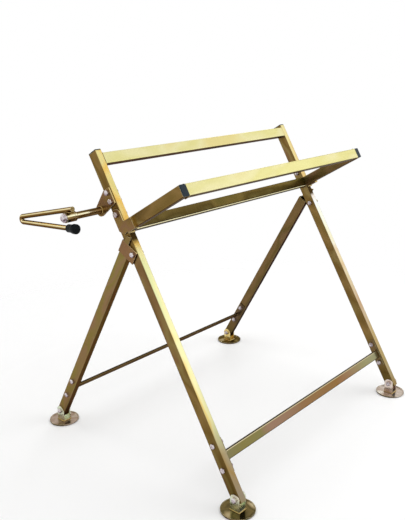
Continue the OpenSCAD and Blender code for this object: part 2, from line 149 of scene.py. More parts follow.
def area_lamp(name, where, aim, size, power, mirrored=True):
    """A soft panel of light at a place, turned towards a point."""
    data = bpy.data.lights.new(name, "AREA")
    data.shape = "RECTANGLE"
    data.size, data.size_y = size
    data.energy = power
    lamp = bpy.data.objects.new(name, data)
    lamp.location = where
    lamp.rotation_euler = (Vector(aim) - Vector(where)).to_track_quat("-Z", "Y").to_euler()
    lamp.visible_camera = False
    lamp.visible_glossy = mirrored
    bpy.context.scene.collection.objects.link(lamp)


area_lamp("tent", (0.2, -0.3, 3.8), (0.2, -0.3, 0.0), (8.0, 8.0), 215, mirrored=False)
area_lamp("key", (2.6, -3.0, 2.4), (0.1, 0, 0.4), (3.4, 3.0), 50, mirrored=False)
area_lamp("glow", (2.6, -2.1, 1.7), (0.1, 0, 0.5), (2.6, 1.5), 4.5)
area_lamp("strip_back", (-0.8, 2.9, 2.6), (0.1, 0, 0.6), (1.0, 0.7), 9)
area_lamp("strip_right", (2.6, 1.1, 2.4), (0.1, 0, 0.6), (0.7, 1.0), 7)

# %% [markdown]
# A material in Blender is a net of nodes. Written out one by one they hide the thought behind
# them, so a small class wraps the output of a node: adding or multiplying two of them makes
# the Math node for it. A second class holds a net and makes any other node, and a third one
# is a net that belongs to a material.


# %% Shader arithmetic
class Wire:
    """The output of a shader node, with arithmetic that adds Math nodes."""

    def __init__(self, net, socket):
        self.net, self.socket = net, socket

    def _math(self, kind, first, second=None, clamp=False):
        return self.net.node("ShaderNodeMath", {0: first, 1: second},
                             operation=kind, use_clamp=clamp)

    def __add__(self, other):
        return self._math("ADD", self, other)

    def __radd__(self, other):
        return self._math("ADD", other, self)

    def __sub__(self, other):
        return self._math("SUBTRACT", self, other)

    def __rsub__(self, other):
        return self._math("SUBTRACT", other, self)

    def __mul__(self, other):
        return self._math("MULTIPLY", self, other)

    def __rmul__(self, other):
        return self._math("MULTIPLY", other, self)

    def __abs__(self):
        return self._math("ABSOLUTE", self)

    def clamp(self):
        return self._math("ADD", self, 0.0, clamp=True)

    def above(self, edge, soft):
        """0 below edge, 1 above it, with a soft step between."""
        return ((self - edge) * (1 / soft) + 0.5).clamp()

    def line(self, middle, half):
        """1 on a line round middle, 0 off it."""
        soft = 0.6 * MM
        return self.above(middle - half, soft) - self.above(middle + half, soft)


class Net:
    """A tree of nodes, and the ways to add to it."""

    def __init__(self, tree):
        self.tree = tree

    def node(self, kind, sockets=None, out=0, **settings):
        """Any node: its settings first, then the values or links of its sockets."""
        made = self.tree.nodes.new(kind)
        for key, value in settings.items():
            if key == "stops":
                ramp = made.color_ramp
                while len(ramp.elements) < len(value):
                    ramp.elements.new(0.5)
                for element, (place, colour) in zip(ramp.elements, value):
                    element.position = place
                    element.color = (*colour, 1)
            else:
                setattr(made, key, value)
        for key, value in (sockets or {}).items():
            self.feed(made.inputs[key], value)
        return Wire(self, made.outputs[out])

    def feed(self, socket, value):
        """Links a wire to a socket, or sets the socket's own value."""
        if isinstance(value, Wire):
            self.tree.links.new(value.socket, socket)
        elif value is not None:
            short = socket.type == "RGBA" and len(value) == 3
            socket.default_value = (*value, 1) if short else value

    def mix(self, share, first, second, blend="MIX"):
        """A blend of two colours."""
        made = self.tree.nodes.new("ShaderNodeMix")
        made.data_type, made.blend_type = "RGBA", blend
        for number, value in ((0, share), (6, first), (7, second)):
            self.feed(made.inputs[number], value)
        return Wire(self, made.outputs[2])

    def tint(self, colour, by):
        """One colour times another."""
        return self.mix(1.0, colour, by, "MULTIPLY")

    def ramp(self, share, stops):
        """A colour ramp."""
        return self.node("ShaderNodeValToRGB", {0: share}, stops=stops)

    def axis(self, wire, letter):
        """One coordinate of a vector."""
        return self.node("ShaderNodeSeparateXYZ", {0: wire}, out="XYZ".index(letter))

    def place(self, turn_x=0.0, scale=(1, 1, 1)):
        """Object coordinates, turned about X so that Z runs along a leaning tube."""
        here = self.node("ShaderNodeTexCoord", out=3)
        turned = self.node("ShaderNodeVectorRotate", {"Vector": here, "Angle": turn_x},
                           rotation_type="X_AXIS")
        return self.node("ShaderNodeVectorMath", {0: turned, 1: scale}, operation="MULTIPLY")

    def noise(self, where, scale, detail=2.0, rough=0.5, warp=0.0):
        """Cloudy noise from 0 to 1."""
        return self.node("ShaderNodeTexNoise", {"Vector": where, "Scale": scale, "Detail": detail,
                                                "Roughness": rough, "Distortion": warp})

    def rounded(self, radius):
        """The normal as if edges were rounded to a radius in mm."""
        return self.node("ShaderNodeBevel", {"Radius": radius * MM}, samples=6)

    def straight(self, rounded):
        """1 on a flat face, less where the rounded normal leans away from it."""
        flat = self.node("ShaderNodeNewGeometry", out=1)
        return self.node("ShaderNodeVectorMath", {0: rounded, 1: flat}, out=1,
                         operation="DOT_PRODUCT")

    def bumps(self, strength, height, normal):
        """A normal that a height disturbs a little."""
        return self.node("ShaderNodeBump", {"Strength": strength, "Distance": 0.3 * MM,
                                            "Height": height, "Normal": normal})


class Paint(Net):
    """A material: its net and its surface."""

    def __init__(self, name):
        self.material = bpy.data.materials.new(name)
        self.material.use_nodes = True
        super().__init__(self.material.node_tree)
        self.surface = self.tree.nodes["Principled BSDF"]

    def set(self, **values):
        """Sets sockets of the surface by name, with _ for a space."""
        for key, value in values.items():
            self.feed(self.surface.inputs[key.replace("_", " ")], value)


# %% [markdown]
# The world shows its own strength to each kind of ray. White is wanted where the camera looks
# past the frame and where metal mirrors the surroundings; a dimmer grey is enough for the
# soft light that fills the shadows. Light Path tells the rays apart.

# %% World and floor
FILL = 0.30
sky = Net(world.node_tree)
seen = 0.0
for ray in ("Is Camera Ray", "Is Glossy Ray", "Is Transmission Ray"):
    kind = sky.node("ShaderNodeLightPath", out=ray)
    seen = sky.node("ShaderNodeMath", {0: seen, 1: kind}, operation="MAXIMUM")
backdrop = world.node_tree.nodes["Background"]
sky.feed(backdrop.inputs["Color"], (1, 1, 1))
sky.feed(backdrop.inputs["Strength"],
         sky.node("ShaderNodeMapRange", {"Value": seen, "To Min": FILL, "To Max": 1.0}))

# The floor melts into the backdrop round this distance, over this width
FADE_AT, FADE_SOFT = 1.25, 0.9
floor_paint = Paint("studio_floor")
mottle = floor_paint.noise(floor_paint.place(), 3.0, 3.0)
pale = floor_paint.mix(mottle, (0.93, 0.93, 0.93), (0.96, 0.96, 0.955))
floor_paint.set(Base_Color=pale, Roughness=0.9)
away = floor_paint.node("ShaderNodeVectorMath", {0: floor_paint.place()}, out=1, operation="LENGTH")
clear = floor_paint.node("ShaderNodeBsdfTransparent")
solid = Wire(floor_paint, floor_paint.surface.outputs[0])
faded = away.above(FADE_AT, FADE_SOFT)
melt = floor_paint.node("ShaderNodeMixShader", {0: faded, 1: solid, 2: clear})
floor_paint.feed(floor_paint.tree.nodes["Material Output"].inputs["Surface"], melt)
floor.data.materials.append(floor_paint.material)
print("world fills at %.2f, floor melts at %.2f m" % (FILL, FADE_AT))

# %% [markdown]
# Yellow zinc is a bath finish: a thin chromate film over bright zinc. The film is clear, and
# its thickness changes from place to place, so the colour wanders between straw, gold, olive
# and a faint rose, in long soft clouds down the tube. Slow noise drives a colour ramp for the
# clouds, and a finer one adds the drawn grain. A second ramp of deeper colours shows on the
# side faces and undersides: painted shade, as if the light fell from above and in front. Near
# a foot the tube darkens, also painted shade. Along a bend thin dark lines are painted shade,
# and a painted highlight line runs beside them. The tube's edges are rounded in the light
# only, with a Bevel node, because they are too small to model, and each edge carries a
# painted shade line with a painted highlight at its core.


# %% Yellow zinc
# Scales of the fine speckle and of the drawn grain
SPECKLE, DRAWN = 90.0, 420.0
# The part of a leg's length where the painted shade by the foot ends, and how softly
FOOT_SHADE_END, FOOT_SOFT = 0.11, 0.16
# The third colour is the painted shade of the dark lines along a bend
WORN, GRAIN, BEND_SHADE = (0.80, 0.74, 0.52), (0.30, 0.22, 0.09), (0.035, 0.022, 0.010)
# A painted shade line along each edge, and the painted highlight at its core
EDGE_SHADE, EDGE_HIGHLIGHT = (0.07, 0.042, 0.015), (0.95, 0.88, 0.58)
# Painted shade on the side faces by a foot, and on undersides
FOOT_SHADE, UNDERSIDE_SHADE = (0.58, 0.58, 0.46), (0.44, 0.36, 0.26)


def yellow_zinc(name, turn_x, pale, deep, stretch=(1, 1, 0.45), sides=1.0, under=1.0, seed=0.0,
                rough=0.30, grain=1.0, edge=1.5, rim=0.8, cloud=13.0, shades=None, dip=None,
                round_light=None, bends=None, course=None):
    """A yellow-passivated finish: pale is the ramp of film colours on faces that look forwards
    or up, deep the one on side faces, where it is painted shade on the tubes, bars and beam;
    undersides take the deep ramp with a painted shade tint on top. shades tints the pale ramp
    along the part, from its start over a length, and darkens the deep one at the start as
    painted shade by the foot; dip is a second colour beyond a place along it; round_light tints
    it round a bar, from underneath to the top, with painted shade below and a painted
    highlight high on each flank. Edges have a painted shade line in brown with a painted
    highlight at its core. bends says where painted shade lines run along a bend, where a
    painted highlight line runs beside one, and that line's colour. With course, a start and a
    length on X, the pale ramp runs along the part from end to end instead of wandering with
    the clouds."""
    paint = Paint(name)
    spot = paint.place(turn_x, stretch)
    shift = paint.node("ShaderNodeVectorMath", {0: spot, 1: (seed, seed * 0.7, seed * 1.3)},
                       operation="ADD")
    slow = paint.noise(shift, cloud, 2.0, 0.45, 0.25)
    fine = paint.noise(shift, SPECKLE, 4.0, 0.55)
    drawn = paint.noise(paint.place(turn_x, (1, 1, 0.015)), DRAWN)
    facing = paint.node("ShaderNodeTexCoord", out=1)
    # Masks of side faces and undersides, where painted shade goes
    upright = abs(paint.axis(facing, "X")).above(0.6, 0.3)
    below = (-1 * paint.axis(facing, "Z")).above(0.38, 0.2) * under
    way = paint.axis(paint.place(turn_x), "Z")

    # The film: two ramps, and what changes them
    share = slow
    if course:
        start, length = course
        share = (paint.axis(paint.place(), "X") - start) * (1 / length) + (slow - 0.5) * 0.25
    front_film = paint.ramp(share, pale)
    side_film = paint.ramp(slow, deep)
    if shades:
        start, length, tints = shades
        wander = (way - start) * (1 / length) + (slow - 0.5) * 0.06
        front_film = paint.tint(front_film, paint.ramp(wander, tints))
        # Painted shade on the side faces by the foot
        side_film = paint.mix(wander.above(FOOT_SHADE_END, FOOT_SOFT), paint.tint(side_film, FOOT_SHADE), side_film)
    if dip:
        place, colour = dip
        side_film = paint.mix(way.above(place, 1.0 * MM), side_film, paint.mix(slow, side_film, colour))
    # Painted shade underneath a round bar, and a painted highlight high on each flank
    if round_light:
        around = paint.axis(facing, "Z") * 0.5 + 0.5
        front_film = paint.tint(front_film, paint.ramp(around, round_light))
    # Side faces show the deep ramp, painted shade on tubes, bars and beam; undersides get a painted
    # shade tint
    film = paint.mix(upright * sides, front_film, side_film)
    tone = paint.mix(below, film, paint.tint(side_film, UNDERSIDE_SHADE))

    # Wear and drawn grain on top of it, then painted shade lines and painted highlights along edges
    # and bends
    tone = paint.mix((fine - 0.62).clamp() * 0.3, tone, WORN)
    tone = paint.mix((drawn - 0.45).clamp() * 0.30 * grain, tone, GRAIN)
    rounded = paint.rounded(edge)
    straight = paint.straight(rounded)
    # A painted shade line along each edge, with a painted highlight at its core
    tone = paint.mix(((1 - straight) * 4).clamp() * rim, tone, EDGE_SHADE)
    tone = paint.mix(((0.84 - straight) * 12).clamp() * rim, tone, EDGE_HIGHLIGHT)
    if bends:
        shade_lines, highlight_at, highlight_colour = bends
        face = 1 - upright
        # A painted highlight line beside the bend, and painted shade lines along it
        tone = paint.mix(way.line(highlight_at, 1.0 * MM) * face, tone, highlight_colour)
        for shade_line in shade_lines:
            tone = paint.mix(way.line(shade_line, 1.1 * MM) * face, tone, BEND_SHADE)
    paint.set(Base_Color=tone, Metallic=0.9, Specular_Tint=(0.32, 0.29, 0.24),
              Normal=paint.bumps(0.05 * grain, drawn * 0.6 + fine * 0.4, rounded),
              Roughness=slow * 0.14 + (fine * 0.06 + (rough - 0.10)))
    return paint.material


# %% [markdown]
# Each ramp is a short row of film colours, from one end of the noise to the other. The tubes
# share a few of them, yet no two legs, arms or feet came out of the bath alike, so each has
# its own mix and its own place in the noise.

# %% Film colours
PALE_TUBE = [(0.32, (0.84, 0.79, 0.36)), (0.42, (0.86, 0.83, 0.50)), (0.49, (0.90, 0.67, 0.22)),
             (0.56, (0.90, 0.83, 0.45)), (0.66, (0.76, 0.79, 0.44))]
PALE_RIGHT = [(0.32, (0.84, 0.80, 0.42)), (0.46, (0.88, 0.87, 0.60)), (0.56, (0.80, 0.68, 0.42)),
              (0.68, (0.88, 0.84, 0.54))]
# The tubes' side faces: film colours darkened as painted shade
SHADE_TUBE = [(0.30, (0.165, 0.105, 0.026)), (0.42, (0.240, 0.148, 0.048)),
             (0.50, (0.165, 0.098, 0.025)), (0.58, (0.245, 0.175, 0.060)),
             (0.66, (0.210, 0.120, 0.048)), (0.74, (0.140, 0.085, 0.025))]
SHADE_MAUVE_TUBE = [(0.30, (0.190, 0.145, 0.042)), (0.43, (0.245, 0.185, 0.055)),
              (0.49, (0.265, 0.165, 0.080)), (0.55, (0.235, 0.175, 0.050)),
              (0.64, (0.265, 0.160, 0.082)), (0.74, (0.190, 0.125, 0.040))]
SHADE_BROWN_TUBE = [(0.32, (0.120, 0.082, 0.026)), (0.44, (0.175, 0.105, 0.042)),
              (0.53, (0.115, 0.078, 0.022)), (0.62, (0.170, 0.098, 0.045)),
              (0.72, (0.150, 0.120, 0.042))]
# Along the front cross-bar from left to right: olive, rose, a long brown middle, grey-green
PALE_BAR = [(0.0, (0.25, 0.160, 0.085)), (0.05, (0.215, 0.195, 0.095)),
            (0.14, (0.23, 0.195, 0.065)), (0.27, (0.225, 0.200, 0.075)),
            (0.31, (0.31, 0.190, 0.125)), (0.36, (0.30, 0.185, 0.120)),
            (0.45, (0.28, 0.160, 0.075)), (0.68, (0.29, 0.160, 0.055)),
            (0.75, (0.31, 0.170, 0.085)), (0.81, (0.33, 0.220, 0.120)),
            (0.88, (0.33, 0.300, 0.150)), (1.0, (0.37, 0.370, 0.220))]
# The rear strip's face looks forwards and down: its browns are painted shade
STRIP_IN_SHADE = [(0.32, (0.165, 0.115, 0.058)), (0.50, (0.120, 0.080, 0.042)),
              (0.66, (0.180, 0.120, 0.070))]
# The bars' side faces, darkened as painted shade
SHADE_BAR = [(0.32, (0.13, 0.09, 0.035)), (0.50, (0.17, 0.11, 0.045)), (0.68, (0.12, 0.08, 0.045))]
# The centre beam in painted shade, dark as if a log lay in the cradle above it
BEAM_IN_SHADE = [(0.32, (0.105, 0.085, 0.020)), (0.46, (0.170, 0.120, 0.034)),
             (0.56, (0.090, 0.062, 0.016)), (0.68, (0.150, 0.120, 0.040))]
BEAM_SIDE_IN_SHADE = [(0.32, (0.11, 0.07, 0.022)), (0.50, (0.14, 0.085, 0.028)), (0.68, (0.10, 0.07, 0.028))]
PALE_RAIL = [(0.32, (0.80, 0.76, 0.36)), (0.46, (0.76, 0.71, 0.31)), (0.58, (0.82, 0.77, 0.42)),
             (0.70, (0.78, 0.68, 0.30))]
PALE_PLATE = [(0.32, (0.74, 0.56, 0.20)), (0.50, (0.66, 0.48, 0.19)), (0.68, (0.78, 0.62, 0.24))]
DEEP_PLATE = [(0.32, (0.235, 0.145, 0.045)), (0.46, (0.235, 0.130, 0.065)),
              (0.60, (0.245, 0.155, 0.050)), (0.70, (0.200, 0.115, 0.060))]
MAUVE_PLATE = [(0.32, (0.235, 0.155, 0.055)), (0.48, (0.254, 0.135, 0.064)),
               (0.66, (0.225, 0.125, 0.062))]
PALE_ROD = [(0.32, (0.95, 0.90, 0.62)), (0.48, (0.92, 0.80, 0.42)), (0.62, (0.95, 0.82, 0.52)),
            (0.72, (0.92, 0.88, 0.60))]
# Round the rod and its pin, from underneath to the top: painted shade, dark underneath, and a
# painted highlight, a thin bright line high on each flank
ROD_SHADE_AND_HIGHLIGHT = [(0.0, (0.10, 0.06, 0.030)), (0.40, (0.15, 0.09, 0.050)), (0.57, (0.34, 0.23, 0.13)),
             (0.66, (1, 1, 1)), (0.76, (1, 1, 1)), (0.84, (0.32, 0.22, 0.10)),
             (1.0, (0.12, 0.08, 0.035))]
# The olive disc's dark patches and gold are a painted reflection of dark surroundings and of the
# clevis
DISC_REFLECTIONS = [(0.30, (0.05, 0.042, 0.018)), (0.42, (0.17, 0.125, 0.048)),
             (0.50, (0.10, 0.078, 0.03)), (0.58, (0.36, 0.27, 0.135)), (0.70, (0.56, 0.48, 0.30))]
PINK_DISC = [(0.32, (0.34, 0.27, 0.22)), (0.46, (0.70, 0.62, 0.55)), (0.58, (0.50, 0.40, 0.33)),
             (0.70, (0.80, 0.75, 0.66))]
MAUVE_DISC = [(0.32, (0.26, 0.18, 0.13)), (0.46, (0.46, 0.36, 0.29)), (0.58, (0.33, 0.23, 0.17)),
              (0.70, (0.54, 0.46, 0.37))]
GOLD_CLEVIS = [(0.32, (0.86, 0.68, 0.24)), (0.48, (0.70, 0.50, 0.16)), (0.60, (0.90, 0.78, 0.36)),
               (0.72, (0.44, 0.28, 0.08))]
PINK_CLEVIS = [(0.32, (0.60, 0.46, 0.38)), (0.48, (0.78, 0.68, 0.61)), (0.60, (0.56, 0.40, 0.31)),
               (0.72, (0.72, 0.60, 0.50))]
PALE_CLEVIS = [(0.32, (0.66, 0.72, 0.50)), (0.46, (0.76, 0.80, 0.62)), (0.58, (0.72, 0.66, 0.44)),
               (0.70, (0.66, 0.60, 0.54))]
DEEP_CLEVIS = [(0.32, (0.68, 0.76, 0.54)), (0.48, (0.76, 0.82, 0.66)), (0.62, (0.72, 0.70, 0.48)),
               (0.74, (0.60, 0.54, 0.50))]

# Up a front leg: brown by the foot as painted shade, full straw above it, gold, then a painted
# shadow of the cradle's bracket as a dark band just below it, and above the bracket a painted
# reflection in gold; the right leg is rosier in the middle and paler at the top
BRACKET_SHADOW_BAND = [(0.731, (0.06, 0.04, 0.02)), (0.768, (0.06, 0.04, 0.02)),
                 (0.785, (0.9, 0.74, 0.48)), (1.0, (0.95, 0.86, 0.62))]
LEFT_SHADES = [(0.0, (0.36, 0.30, 0.34)), (0.12, (0.42, 0.38, 0.42)), (0.22, (0.80, 0.80, 0.74)),
               (0.34, (1, 1, 1)), (0.70, (1, 0.97, 0.86)),
               (0.720, (0.98, 0.84, 0.60))] + BRACKET_SHADOW_BAND
RIGHT_SHADES = [(0.0, (0.44, 0.36, 0.26)), (0.14, (0.62, 0.49, 0.43)), (0.34, (0.72, 0.58, 0.56)),
                (0.48, (0.88, 0.80, 0.77)), (0.62, (1, 1.05, 1.5)),
                (0.720, (1, 1.05, 1.5))] + BRACKET_SHADOW_BAND
OLIVE = (0.20, 0.17, 0.045)
print("colours along the cross-bar: %d, up a front leg: %d" % (len(PALE_BAR), len(LEFT_SHADES)))

# %% [markdown]
# The finish of a leaning tube is turned, so that its clouds and grain run along the tube. Lines
# and shades at a height, such as the painted shade lines along a bend, are placed with the same
# turned coordinate.


# %% Zinc finishes
def along_leg(point, lean):
    """How far a point lies along a leaning leg, in the coordinates of its finish."""
    return (Matrix.Rotation(lean, 3, "X") @ point).z


def bar_bends(low, height, highlight_colour):
    """The painted lines along the bends of a bar that starts at low: its painted shade lines, its
    painted highlight line and that line's colour.
    """
    high = low + height
    return (low + 0.4 * MM, high - 0.6 * MM), high - 2.7 * MM, highlight_colour


# Heights of the front channel and the rear strip
BAR_H, STRIP_H = 24 * MM, 18 * MM
# The length over which a front leg's shades run, and where the tongue leaves the hinge plate,
# above hinge_s on the rear leg
LEG_SHADED, TONGUE_LOW = 0.92, 30.3 * MM
# Stretches of the clouds: along X, and none
ALONG_X, EVEN = (0.45, 1, 1), (1, 1, 1)
leg_start = along_leg(front(0, 0, 0), LEAN)
bar_low = along_leg(front(0, 0, bar_s - BAR_H / 2), LEAN)
strip_low = along_leg(rear(0, 0, bar_s - STRIP_H / 2), -LEAN)
tongue_start = along_leg(rear(0, 0, hinge_s + TONGUE_LOW), -LEAN)
beam_low = min(along_leg(v.co, LEAN) for v in nodes["centre_beam"].data.vertices)
# A painted highlight line along the beam's lower edge, between painted shade lines
beam_bends = (beam_low - 1.0 * MM, beam_low + 4.0 * MM), beam_low + 1.6 * MM, (0.86, 0.80, 0.50)

left_tube = yellow_zinc("zinc_left_leg", LEAN, PALE_TUBE, SHADE_TUBE, seed=1.7, edge=2.4,
                        shades=(leg_start, LEG_SHADED, LEFT_SHADES))
right_tube = yellow_zinc("zinc_right_leg", LEAN, PALE_RIGHT, SHADE_TUBE, seed=12.9, edge=2.4,
                         shades=(leg_start, LEG_SHADED, RIGHT_SHADES))
left_arm = yellow_zinc("zinc_left_arm", LEAN + math.pi / 2, PALE_TUBE, SHADE_TUBE, seed=6.0)
right_arm = yellow_zinc("zinc_right_arm", LEAN + math.pi / 2, PALE_TUBE, SHADE_BROWN_TUBE, seed=4.1)
rear_left_tube = yellow_zinc("zinc_rear_left_leg", -LEAN, PALE_TUBE, SHADE_MAUVE_TUBE, seed=5.1)
rear_right_tube = yellow_zinc("zinc_rear_right_leg", -LEAN, PALE_TUBE, SHADE_BROWN_TUBE, seed=8.8)
rail_tube = yellow_zinc("zinc_rail", 0.0, PALE_RAIL, SHADE_TUBE, ALONG_X, seed=3.3)
beam_tube = yellow_zinc("zinc_beam", LEAN, BEAM_IN_SHADE, BEAM_SIDE_IN_SHADE, ALONG_X, seed=7.3,
                        bends=beam_bends)
# Each bar's bends get painted shade lines and a painted highlight line
bar_steel = yellow_zinc("zinc_crossbar", LEAN, PALE_BAR, SHADE_BAR, ALONG_X, seed=8.2, rim=0.0,
                        course=(LEFT_X, SPAN), bends=bar_bends(bar_low, BAR_H, (0.66, 0.58, 0.36)))
strip_steel = yellow_zinc("zinc_strip", -LEAN, STRIP_IN_SHADE, STRIP_IN_SHADE, ALONG_X, seed=4.4, rim=0.0,
                          under=0.35, bends=bar_bends(strip_low, STRIP_H, (0.36, 0.26, 0.11)))
hinge_steel = yellow_zinc("zinc_hinge_plate", -LEAN, PALE_PLATE, MAUVE_PLATE, EVEN, seed=5.8,
                          cloud=22.0, dip=(tongue_start, OLIVE))
plate_steel = yellow_zinc("zinc_plate", 0.0, PALE_PLATE, DEEP_PLATE, EVEN, seed=2.4, cloud=22.0)
rod_steel = yellow_zinc("zinc_rod", 0.0, PALE_ROD, DEEP_PLATE, EVEN, seed=6.6, rough=0.17,
                        sides=0.0, under=0.0, round_light=ROD_SHADE_AND_HIGHLIGHT)
weld_metal = yellow_zinc("zinc_weld", 0.0, PALE_PLATE, DEEP_PLATE, EVEN, seed=3.9, rough=0.42,
                         grain=1.5, cloud=60.0, edge=0.2, rim=0.0)


def foot_zinc(name, pale, deep, seed, rough, grain, cloud):
    """The film on a foot's disc or clevis, which has no long side for the clouds to follow."""
    return yellow_zinc("zinc_foot_" + name, 0.0, pale, deep, EVEN, seed=seed, rough=rough,
                       grain=grain, cloud=cloud)


olive_disc = foot_zinc("disc", DISC_REFLECTIONS, SHADE_BAR, 4.9, 0.11, 0.4, 18.0)
pink_disc = foot_zinc("disc_pink", PINK_DISC, SHADE_BAR, 2.2, 0.18, 0.4, 18.0)
mauve_disc = foot_zinc("disc_mauve", MAUVE_DISC, SHADE_BAR, 3.1, 0.15, 0.4, 18.0)
green_clevis = foot_zinc("clevis", PALE_CLEVIS, DEEP_CLEVIS, 0.6, 0.22, 0.5, 26.0)
gold_clevis = foot_zinc("clevis_gold", GOLD_CLEVIS, GOLD_CLEVIS, 7.7, 0.20, 0.5, 30.0)
pink_clevis = foot_zinc("clevis_pink", PINK_CLEVIS, PINK_CLEVIS, 9.4, 0.20, 0.5, 30.0)
print("beam's lower edge %.3f m up the leg" % (beam_low - leg_start))
print("zinc finishes:", [m.name for m in bpy.data.materials if m.name.startswith("zinc")])

# %% [markdown]
# Bolts and nuts are bought parts with a clear bright zinc plating: a cool silver with a hint
# of rose, with painted shade on the lower half of each head and along its edges. The end plugs
# are injection moulded and nearly black with a blue cast, the rod's cap is a dull rubber, and
# a lock nut has a ring of milky nylon that grips the thread.


# %% Bright zinc, plastic and rubber
def bright_zinc():
    """A clear zinc plating, with painted shade on the lower half of a head and along its edges."""
    paint = Paint("bright_zinc")
    spot = paint.place()
    slow = paint.noise(spot, 120.0)
    fine = paint.noise(spot, 700.0, 3.0)
    tone = paint.ramp(slow, [(0.30, (0.34, 0.27, 0.29)), (0.44, (0.66, 0.58, 0.61)),
                             (0.54, (0.86, 0.84, 0.83)), (0.68, (0.52, 0.42, 0.45))])
    rounded = paint.rounded(1.0)
    # Painted shade on the lower half of a head, and along its edges
    upper = paint.axis(paint.rounded(5.0), "Z").above(-0.08, 0.45)
    tone = paint.mix(upper, paint.tint(tone, (0.42, 0.33, 0.37)), tone)
    tone = paint.mix(((1 - paint.straight(rounded)) * 4).clamp() * 0.8, tone, (0.10, 0.075, 0.08))
    paint.set(Base_Color=tone, Metallic=0.95, Roughness=fine * 0.14 + 0.16,
              Normal=paint.bumps(0.1, fine, rounded))
    return paint.material


def moulded(name, dark, light, rough, grain, shine=0.22):
    """A moulded plastic or rubber with a fine surface grain."""
    paint = Paint(name)
    spot = paint.place()
    cloud = paint.noise(spot, 45.0, 3.0)
    fine = paint.noise(spot, grain, 4.0, 0.65)
    paint.set(Base_Color=paint.mix(cloud * 0.7 + (fine * 0.3), dark, light),
              Normal=paint.bumps(0.25, fine, paint.rounded(0.6)),
              Roughness=fine * 0.2 + rough, Specular_IOR_Level=shine)
    return paint.material


fastener = bright_zinc()
plug_plastic = moulded("plug_plastic", (0.006, 0.012, 0.018), (0.018, 0.034, 0.046), 0.36, 500.0)
cap_rubber = moulded("cap_rubber", (0.0015, 0.0025, 0.003), (0.005, 0.008, 0.009), 0.34, 900.0,
                     shine=0.10)
nylon = moulded("nut_nylon", (0.52, 0.54, 0.52), (0.66, 0.68, 0.66), 0.35, 600.0)
print("materials:", len(bpy.data.materials))

# %% [markdown]
# Each CAD part keeps its mesh and gets its finish by name. A short table says which finish
# belongs to which group of parts, and a loop puts it in: the first entry with which a part's
# name starts is the one that counts.

# %% Dress the CAD parts
FINISH = {
    "front_leg_left": left_tube, "front_leg_right": right_tube,
    "rear_leg_left": rear_left_tube, "rear_leg_right": rear_right_tube,
    "cradle_arm_left": left_arm, "cradle_arm_right": right_arm,
    "centre_beam": beam_tube, "back_rail": rail_tube, "cradle_rail": rail_tube,
    "front_crossbar": bar_steel, "rear_crossbar": strip_steel,
    "hinge_plate": hinge_steel, "cradle_bracket": plate_steel, "saw_bracket": plate_steel,
    "saw_pin": rod_steel, "saw_rod": rod_steel,
    "foot_plate_front_right": pink_disc, "foot_plate_rear_left": mauve_disc,
    "foot_plate": olive_disc,
    "foot_clevis_front_right": pink_clevis, "foot_clevis_rear_right": gold_clevis,
    "foot_clevis": green_clevis,
}
for name, part in nodes.items():
    if "bolts" in name or "nuts" in name or name == "saw_retainer":
        chosen = fastener
    elif "plugs" in name or name == "saw_rod_cap":
        chosen = plug_plastic
    else:
        chosen = next(finish for start, finish in FINISH.items() if name.startswith(start))
    part.data.materials.clear()
    part.data.materials.append(chosen)
print("dressed:", len(nodes))

# %% [markdown]
# The pieces that follow are built from rings: a ring is a closed row of points, and a skin of
# faces joins each ring to the next. A plug, a rubber cap and a weld bead are all such skins,
# so one function makes the mesh, gives it its finish and hands it to the body that it moves
# with. Where it stands for a CAD part, that part steps aside.


# %% Skins over rings
def skin(mesh, rings, closed):
    """Faces between rings of points, with both ends filled unless the skin closes on itself."""
    rows = [[mesh.verts.new(p) for p in ring] for ring in rings]
    pairs = list(zip(rows, rows[1:]))
    if closed:
        pairs.append((rows[-1], rows[0]))
    for low, high in pairs:
        for i in range(len(low)):
            j = (i + 1) % len(low)
            mesh.faces.new((low[i], low[j], high[j], high[i]))
    if not closed:
        mesh.faces.new(list(reversed(rows[0])))
        mesh.faces.new(rows[-1])


def piece(name, body, finish, skins, stands_for=None):
    """A smooth piece made of skins, riding on a body."""
    work = bmesh.new()
    for rings, closed in skins:
        skin(work, rings, closed)
    bmesh.ops.recalc_face_normals(work, faces=work.faces)
    mesh = bpy.data.meshes.new(name)
    work.to_mesh(mesh)
    work.free()
    mesh.polygons.foreach_set("use_smooth", [True] * len(mesh.polygons))
    mesh.materials.append(finish)
    made = bpy.data.objects.new(name, mesh)
    bpy.context.scene.collection.objects.link(made)
    if stands_for:
        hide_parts(stands_for)
    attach(made, body)
    print(name, len(mesh.polygons), "faces")


# %% [markdown]
# An end plug has a cap with rounded rims and a slightly domed top, and a stem that grips the
# inside of the tube. Its outline is the tube's own: a rectangle with round corners. Rings of
# that outline, each a little smaller towards the top, make the dome.


# %% End plugs
CORNER = 2.5 * MM
PLUG_CAP = 3 * MM


def outline(width, height, radius, steps=6):
    """Points round a rectangle with round corners, centred, as pairs."""
    points = []
    for k, (i, j) in enumerate(((1, 1), (-1, 1), (-1, -1), (1, -1))):
        for n in range(steps + 1):
            angle = math.radians(90 * (k + n / steps))
            points.append((i * (width / 2 - radius) + radius * math.cos(angle),
                           j * (height / 2 - radius) + radius * math.sin(angle)))
    return points


# Height of a ring above the tube's end and its distance inside the tube's outline, in mm
PLUG_RINGS = [(-13.5, 2.4), (-13.0, 1.9), (-0.1, 1.9), (0.0, 1.2), (0.05, 0.25), (0.4, 0.0),
              (1.7, 0.0), (2.3, 0.2), (2.65, 0.7), (2.82, 1.6), (2.92, 3.2), (3.0, 6.5)]


def plug(place):
    """One plug; place(a, b, h) is the world point at a and b across the tube and h above its end."""
    rings = []
    for height, inset in PLUG_RINGS:
        inset *= MM
        edge = outline(TUBE_T - 2 * inset, TUBE_W - 2 * inset, max(CORNER - inset, 0.4 * MM))
        rings.append([place(a, b, height * MM) for a, b in edge])
    return rings, False


